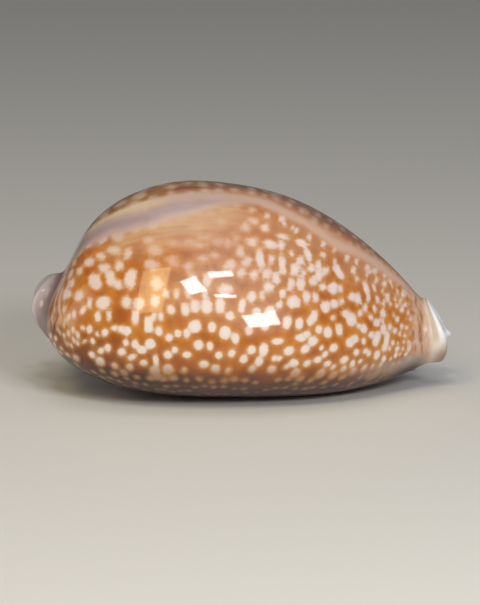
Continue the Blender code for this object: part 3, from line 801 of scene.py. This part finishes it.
enamel = {
    "golden": seen(206, 128, 44), "orange": seen(176, 94, 30), "deep": seen(138, 66, 26),
    "rosy": seen(194, 140, 106), "halo": seen(216, 158, 88), "spot": seen(238, 221, 210),
    "spotRosy": seen(230, 206, 200), "spotHeart": seen(246, 234, 226), "spotTan": seen(186, 146, 116),
    # the haze colour is partly the pale zone by the mantle line and partly a painted sheen
    "band": seen(216, 180, 160), "bandCore": seen(168, 146, 150), "hazeAndSheen": seen(208, 168, 130),
    "bandCream": seen(224, 200, 168), "bandPale": seen(202, 174, 162), "farGolden": seen(158, 112, 66),
    # the margin colours are the callus's mauve and grey, darkened as painted shade where the shell turns
    # under
    "farBrown": seen(138, 102, 82), "farDark": seen(92, 54, 36), "margin": seen(106, 71, 61),
    "marginGreyAndShade": seen(68, 59, 60), "frontMargin": seen(164, 150, 142), "base": seen(196, 172, 154),
    "tooth": seen(104, 62, 42), "hollow": seen(176, 158, 168), "collar": seen(172, 156, 158),
    # the collar's dark colour is painted shade for its crease, and its rim colour is painted light
    "collarCreaseShade": seen(112, 88, 94), "collarRimLight": seen(198, 194, 194),
    # the patch colour serves a dark patch on the shell and painted shade low at the rear
    "collarFleck": seen(232, 214, 176), "patch": seen(96, 44, 24), "neckPale": seen(204, 170, 144),
    "neckBrown": seen(150, 92, 56), "neckGrey": seen(192, 184, 186), "lobe": seen(232, 218, 206),
    "lobeCream": seen(240, 230, 214), "lobeMauve": seen(186, 162, 152),
    "lobeOlive": seen(176, 148, 100), "lobeWhite": seen(240, 241, 244), "lobeBrown": seen(150, 112, 88),
    # the gap colour is a near-black painted shade, low towards the rear and in the bay below the collar
    "borderPale": seen(222, 190, 156), "borderBrown": seen(166, 104, 60), "gap": seen(34, 24, 22),
    "roughness": 0.34, "roughBase": 0.12, "roughEnds": 0.12, "roughGrain": 0.06,
    "specular": 0.3, "coat": 0.8, "coatRoughness": 0.05,
    "dullCoat": 0.6, "collarCoat": 0.75, "lobeCoat": 0.85, "neckCoat": 0.85,  # shares of it that go
    "bumpStrength": 0.1, "bumpDistance": 0.0006, "bumpSwell": 0.6, "bumpFleck": 0.05,
    # noises over the shell: scale, detail and roughness
    "noises": {
        "broad": (60, 3, 0.5),
        "swell": (85, 2, 0.5),
        "cloud": (170, 3, 0.5),
        "fleck": (520, 4, 0.6),
        "grain": (1500, 3, 0.5),
    },
    # noises drawn out over it: what a radian and a row count, then the same three
    "lengthwise": (22, 0.9, 1, 4, 0.6),
    "drift": (3, 0.5, 1.3, 3, 0.5),
    "around": (1.6, 2.6, 1.3, 3, 0.55),
    "aroundCloud": 2, "aroundSlice": 4,  # how much the clouds bend it, and where it is cut
    # distances from marks on the near side: row, angle, and what both count, squared
    "marks": {
        "fromPatch": (5.25, -1.56, 3, 70),
        "fromFleck": (0.95, -1.26, 22, 80),
        "fromShadedBay": (5.55, -2.07, 10, 120),
    },
    # A fade names a measure and where this gives 0 and 1, then perhaps a noise that sways it.
    # x, line, edge and wander are in mm, rows count from the rear, turn and angle are in radians.
    # Measures that a fade adds to: a number or another measure, how much more, the fade
    "grown": {
        "rosyShare": (0.3, 0.5, ("broad", 0.35, 0.6)),
        "hazeAndSheenShare": (0.6, 0.4, ("lengthwise", 0.65, 0.4)),
        "ragged": (0.9, 1.3, ("turn", 1.6, 1)),
        "bandHalf": (1.5, 2.9, ("x", 4, -16)),
        "rosyTurn": ("turn", 0.5, ("x", 4, 30)),
        "neckRow": ("row", 1.1, ("turn", 1.7, 2.3)),
    },
    "masks": {
        "neckMask": ("neckRow", 15, 16.1, "drift", 1.2),
        "lobeMask": ("row", 16.5, 17.6, "cloud", 1.8),
        "collarMask": ("row", 2.9, 2.5, "cloud", 0.4),
        "baseMask": ("turn", 2.54, 2.8, "broad", 0.25),
        "lowMask": ("turn", 1.9, 2.3),
    },
    "cloudyEdge": 0.5, "softSpan": 0.55,  # of a spot: the clouds' part in its edge, and half its softness
    "lineDrift": 2.6, "lineCloud": 3, "coreAt": 0.9, "coreShare": 0.75,
    "bandOut": 1.4, "bandIn": 1.2,  # the band fades from this far outside its half width to this far inside
    # stacks: the lowest colour, then layers with their colour or stack, share and fades or masks
    "wholeShell": (
        # ground: golden to orange brown, darker low down, rosier high up and to the front
        "golden",
        ("orange", 1, ("cloud", 0.28, 0.74)),
        ("rosy", 1, ("rosyTurn", 1.7, 1.1), ("x", -28, -6), "rosyShare"),
        ("deep", 0.2, ("fleck", 0.52, 0.75)),
        ("deep", 0.5, ("turn", 1.55, 2.1)),
        # painted shade: the ground darkened low on the near side at the rear
        ("patch", 0.8, ("x", -20, -38), ("turn", 1.3, 2), ("angle", 0, -0.1)),
        ("farSide", 0.85, ("line", -1, -6), ("turn", 1.5, 0.8)),
        # margin above the base: mauve, then dark grey, partly their own colour and partly painted shade
        # where the shell turns under; painted shade low towards the rear, a dark patch, and pale to the
        # front
        ("margin", 1, ("turn", 1.92, 2.18, "cloud", 0.3)),
        ("marginGreyAndShade", 1, ("turn", 2.12, 2.42, "cloud", 0.2)),
        # painted shade: near-black low down towards the rear
        ("gap", 0.7, ("turn", 1.85, 2.15), ("x", -2, -28)),
        ("patch", 0.85, ("fromPatch", 1.3, 0.5)),
        ("frontSide", 0.92, ("row", 12.6, 14.6), ("turn", 1.78, 2.02)),
        # spots on a deeper ground, each with a paler ring about it
        ("deep", 0.35, ("edge", 0.7, 2.2), ("line", 4, 9)),
        ("halo", 0.55, ("edge", 0.9, 0), "tone", ("inner", 0.05, 0)),
        ("spotPaint", 1, "spotMask", "tone", ("inner", 0.05, 0)),
        # mantle line: a pale band, wide and with a lavender grey core to the rear
        # a pale tan haze, partly the shell's own colour and partly a painted sheen
        ("hazeAndSheen", 0.85, ("wander", 15, 6), ("wander", -1, 3),
            ("x", 8, -8), ("x", -36, -26), "hazeAndSheenShare"),
        ("bandPaint", 0.93, "bandMask"),
        ("bandCore", 0.85, "coreMask", ("x", 8, -18), ("broad", 0.2, 0.5)),
        # the ends, and the bay below the collar, painted dark as shade
        ("neckPaint", 0.9, "neckMask"),
        ("lobePaint", 1, "lobeMask"),
        ("borderPaint", 0.75, ("row", 6.2, 5, "cloud", 2), ("turn", 1.62, 1.4),
            ("angle", -0.3, -0.6)),
        ("collarPaint", 1, "collarMask"),
        # painted shade: the bay below the collar, where the canal's end lies in shade
        ("gap", 0.85, ("fromShadedBay", 1.8, 0.2)),
        # base, hollow and teeth
        ("basePaint", 1, "baseMask", ("row", 2.4, 4), ("row", 18.4, 17.2)),
        ("hollow", 1, ("inner", 0.55, 0.95), ("row", 0.4, 1.6), ("row", 19, 18.6)),
        ("tooth", 0.85, ("teeth", 0.05, 0.6)),
    ),
    # far side of the dorsum: golden brown to the rear, a blurred brown net to the front
    "farSide": (
        "farGolden",
        ("farBrown", 1, ("x", -24, 2)),
        ("farDark", 0.75, ("lengthwise", 0.46, 0.62)),
    ),
    # front margin: pale beige grey, turning to dark grey low down as painted shade
    "frontSide": (
        "frontMargin",
        ("marginGreyAndShade", 1, ("turn", 2, 2.45), ("row", 17, 15.4)),
    ),
    "spotPaint": (
        "spot",
        ("spotRosy", 1, ("turn", 1.8, 1), ("x", -28, -12)),
        ("halo", 0.3, ("edge", -0.5, 0.4)),
        ("spotHeart", 0.5, ("edge", -0.3, -1.1)),
        ("spotTan", 1, ("turn", 1.85, 2.08)),
    ),
    "bandPaint": (
        "band",
        ("bandPale", 1, ("x", 14, -8)),
        ("bandCream", 1, ("wander", -1.4, -3.2), ("x", -12, -26)),
    ),
    # front neck: pale, with a few brown streaks round it and grey patches below
    "neckPaint": (
        "neckPale",
        ("neckBrown", 0.8, ("around", 0.44, 0.62), ("row", 17.4, 16.4), ("turn", 2.1, 1.7)),
        ("neckGrey", 0.7, ("cloud", 0.45, 0.6), ("turn", 1.1, 1.5)),
        # low down the neck takes on the front margin and its painted shade
        ("frontSide", 1, ("turn", 1.82, 2.1), ("row", 17.2, 16)),
    ),
    # front lobe: cream, softly clouded, with a white rim above and a brown corner below
    "lobePaint": (
        "lobe",
        ("lobeMauve", 0.6, ("cloud", 0.4, 0.7)),
        ("lobeCream", 0.6, ("turn", 1.1, 1.4), ("turn", 2.1, 1.8), ("row", 18.6, 18),
            ("fleck", 0.35, 0.5)),
        ("lobeOlive", 0.55, ("row", 17.3, 17.7), ("row", 18.3, 17.9), ("turn", 1.75, 1.35)),
        ("lobeWhite", 1, ("row", 17.9, 18.4), ("turn", 1.75, 1.35)),
        ("lobeBrown", 0.7, ("row", 17, 18.4), ("turn", 1.6, 2.05), ("angle", 0, -0.1)),
        ("lobeWhite", 1, ("angle", 0.8, 1.2)),
    ),
    "borderPaint": (
        "borderPale",
        ("borderBrown", 1, ("around", 0.42, 0.58)),
    ),
    # rear collar: lavender grey, with painted shade in its crease and painted light at its rim, and a cream
    # fleck
    "collarPaint": (
        "collar",
        ("collarCreaseShade", 0.8, ("row", 0.9, 1.9, "cloud", 1.2)),
        ("collarRimLight", 0.8, ("row", 0.6, 0.1)),
        ("collarFleck", 0.7, ("fromFleck", 1.2, 0.2, "fleck", 2)),
    ),
    "basePaint": (
        "base",
        # clouded with the margin colour, which is partly painted shade
        ("margin", 0.35, ("cloud", 0.35, 0.7)),
    ),
}


def fadeBy(finish, at, measure, low, high, sway=None, reach=0.0):
    value = at[measure]
    if sway:
        value = value + (at[sway] - 0.5) * reach
    return finish.ease(value, low, high)


def enamelMeasures(finish):
    # all that the layers fade by: places on the shell, noises, and distances from spots and marks
    look = enamel
    place = finish.node("ShaderNodeTexCoord", {}, {}, "Object")
    axes = finish.node("ShaderNodeVectorMath", {"operation": "SCALE"}, {0: place, "Scale": mmPerMetre})
    at = {"x": finish.node("ShaderNodeSeparateXYZ", {}, {0: axes})}
    for name, attribute in (
            ("gap", "spotGap"), ("tone", "spotTone"), ("soft", "spotSoft"), ("line", "lineGap"),
            ("row", "shellRow"), ("angle", "shellAngle"), ("inner", "innerShare"), ("teeth", "toothWave")):
        at[name] = finish.node("ShaderNodeAttribute", {"attribute_name": attribute}, {}, "Fac")
    row, angle = at["row"], at["angle"]
    at["turn"] = abs(angle)

    for name, values in look["noises"].items():
        at[name] = finish.noise(place, *values)
    for name in ("lengthwise", "drift"):
        perAngle, perRow, *values = look[name]
        at[name] = finish.noise(finish.vector(angle * perAngle, row * perRow, 0.0), *values)
    perAngle, perRow, *values = look["around"]
    bent = row * perRow + at["cloud"] * look["aroundCloud"]
    at["around"] = finish.noise(finish.vector(bent, angle * perAngle, look["aroundSlice"]), *values)

    for name, (markRow, markAngle, rowCounts, angleCounts) in look["marks"].items():
        rowsAway, angleAway = row - markRow, angle - markAngle
        at[name] = rowsAway * rowsAway * rowCounts + angleAway * angleAway * angleCounts
    for name, (start, more, fade) in look["grown"].items():
        at[name] = at.get(start, start) + more * fadeBy(finish, at, *fade)
    for name, fade in look["masks"].items():
        at[name] = fadeBy(finish, at, *fade)

    cloud, span = at["cloud"] - 0.5, at["soft"] * look["softSpan"]
    at["edge"] = at["gap"] + (at["fleck"] - 0.5) * at["ragged"] + cloud * look["cloudyEdge"]
    at["spotMask"] = finish.ease(at["edge"], span, span * -1)
    half = at["bandHalf"]
    at["wander"] = at["line"] + (at["drift"] - 0.5) * look["lineDrift"] + cloud * look["lineCloud"]
    at["bandMask"] = finish.ease(abs(at["wander"]), half + look["bandOut"], half - look["bandIn"])
    at["coreMask"] = finish.ease(abs(at["wander"] - look["coreAt"]), half * look["coreShare"], 0.0)
    return at


def layered(finish, at, name):
    # a colour, or what a stack of layers gives
    lowest, *layers = enamel[name]
    if not isinstance(lowest, str):
        return enamel[name]
    colour = enamel[lowest]
    for upper, share, *fades in layers:
        mask = share
        for fade in fades:
            mask = mask * (at[fade] if isinstance(fade, str) else fadeBy(finish, at, *fade))
        colour = finish.mix(mask, colour, layered(finish, at, upper))
    return colour


def enamelFinish():
    look = enamel
    finish = Finish("shellEnamel")
    at = enamelMeasures(finish)
    collar, lobe, neck = at["collarMask"], at["lobeMask"], at["neckMask"]
    dull = at["lowMask"] * look["dullCoat"]
    mild = collar * look["collarCoat"] + lobe * look["lobeCoat"] + neck * (1 - lobe) * look["neckCoat"]
    coat = look["coat"] - look["coat"] * (dull + mild - dull * mild)
    roughness = look["roughness"] + look["roughBase"] * at["baseMask"]
    roughness = roughness + look["roughEnds"] * (collar + lobe) + look["roughGrain"] * (at["grain"] - 0.5)
    bump = finish.node("ShaderNodeBump", {}, {
        "Strength": look["bumpStrength"],
        "Distance": look["bumpDistance"],
        "Height": at["swell"] * look["bumpSwell"] + at["fleck"] * look["bumpFleck"],
    })
    finish.fill(finish.shader.inputs, {
        "Base Color": layered(finish, at, "wholeShell"),
        "Roughness": roughness,
        "Normal": bump,
        "Specular IOR Level": look["specular"],
        "Coat Weight": coat,
        "Coat Roughness": look["coatRoughness"],
    })
    return finish.material


print("shell: enamel")
shell.data.materials.clear()
shell.data.materials.append(enamelFinish())
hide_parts("shell")
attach(shell, "root")


def makeFloor():
    selectNothing()
    bpy.ops.mesh.primitive_circle_add(
        vertices=studio["floorSides"], radius=studio["floorRadius"], fill_type="NGON")
    floor = bpy.context.object
    floor.name = floor.data.name = "studioFloor"
    finish = Finish("floorPaper")
    place = finish.node("ShaderNodeTexCoord", {}, {}, "Object")
    fibre = finish.noise(place, *studio["fibreNoise"]) * studio["fibreShare"]
    finish.fill(finish.shader.inputs, {
        "Base Color": finish.mix(fibre, studio["floor"], studio["floorFibre"]),
        "Roughness": studio["floorRoughness"],
    })
    floor.data.materials.append(finish.material)


def addPanel(name, centre, width, height, roll, power, colour):
    data = bpy.data.lights.new(name, "AREA")
    data.shape = "RECTANGLE"
    data.size = width
    data.size_y = height
    data.energy = power
    data.color = colour
    panel = bpy.data.objects.new(name, data)
    bpy.context.scene.collection.objects.link(panel)
    panel.location = centre
    facing = (Vector(studio["panelAim"]) - Vector(centre)).to_track_quat("-Z", "Y")
    panel.rotation_euler = (facing @ Quaternion((0, 0, 1), math.radians(roll))).to_euler()
    panel.visible_camera = False


def setCamera():
    data = bpy.data.cameras.new("viewCamera")
    data.lens = studio["lens"]
    data.sensor_width = studio["sensor"]
    data.clip_start = studio["clipStart"]
    camera = bpy.data.objects.new("viewCamera", data)
    bpy.context.scene.collection.objects.link(camera)
    rise = math.radians(studio["elevation"])
    back = Vector((0, -math.cos(rise), math.sin(rise)))
    camera.location = Vector(studio["aim"]) + back * studio["distance"]
    camera.rotation_euler = (-back).to_track_quat("-Z", "Y").to_euler()
    bpy.context.scene.camera = camera


print("studio: floor, lights and camera")
makeFloor()
for panel in studio["panels"]:
    addPanel(*panel)
setCamera()
world = bpy.data.worlds.new("studioWorld")
bpy.context.scene.world = world
world.use_nodes = True
world.node_tree.nodes["Background"].inputs["Color"].default_value = studio["world"]
world.node_tree.nodes["Background"].inputs["Strength"].default_value = studio["worldStrength"]
bpy.context.scene.view_settings.view_transform = "Standard"
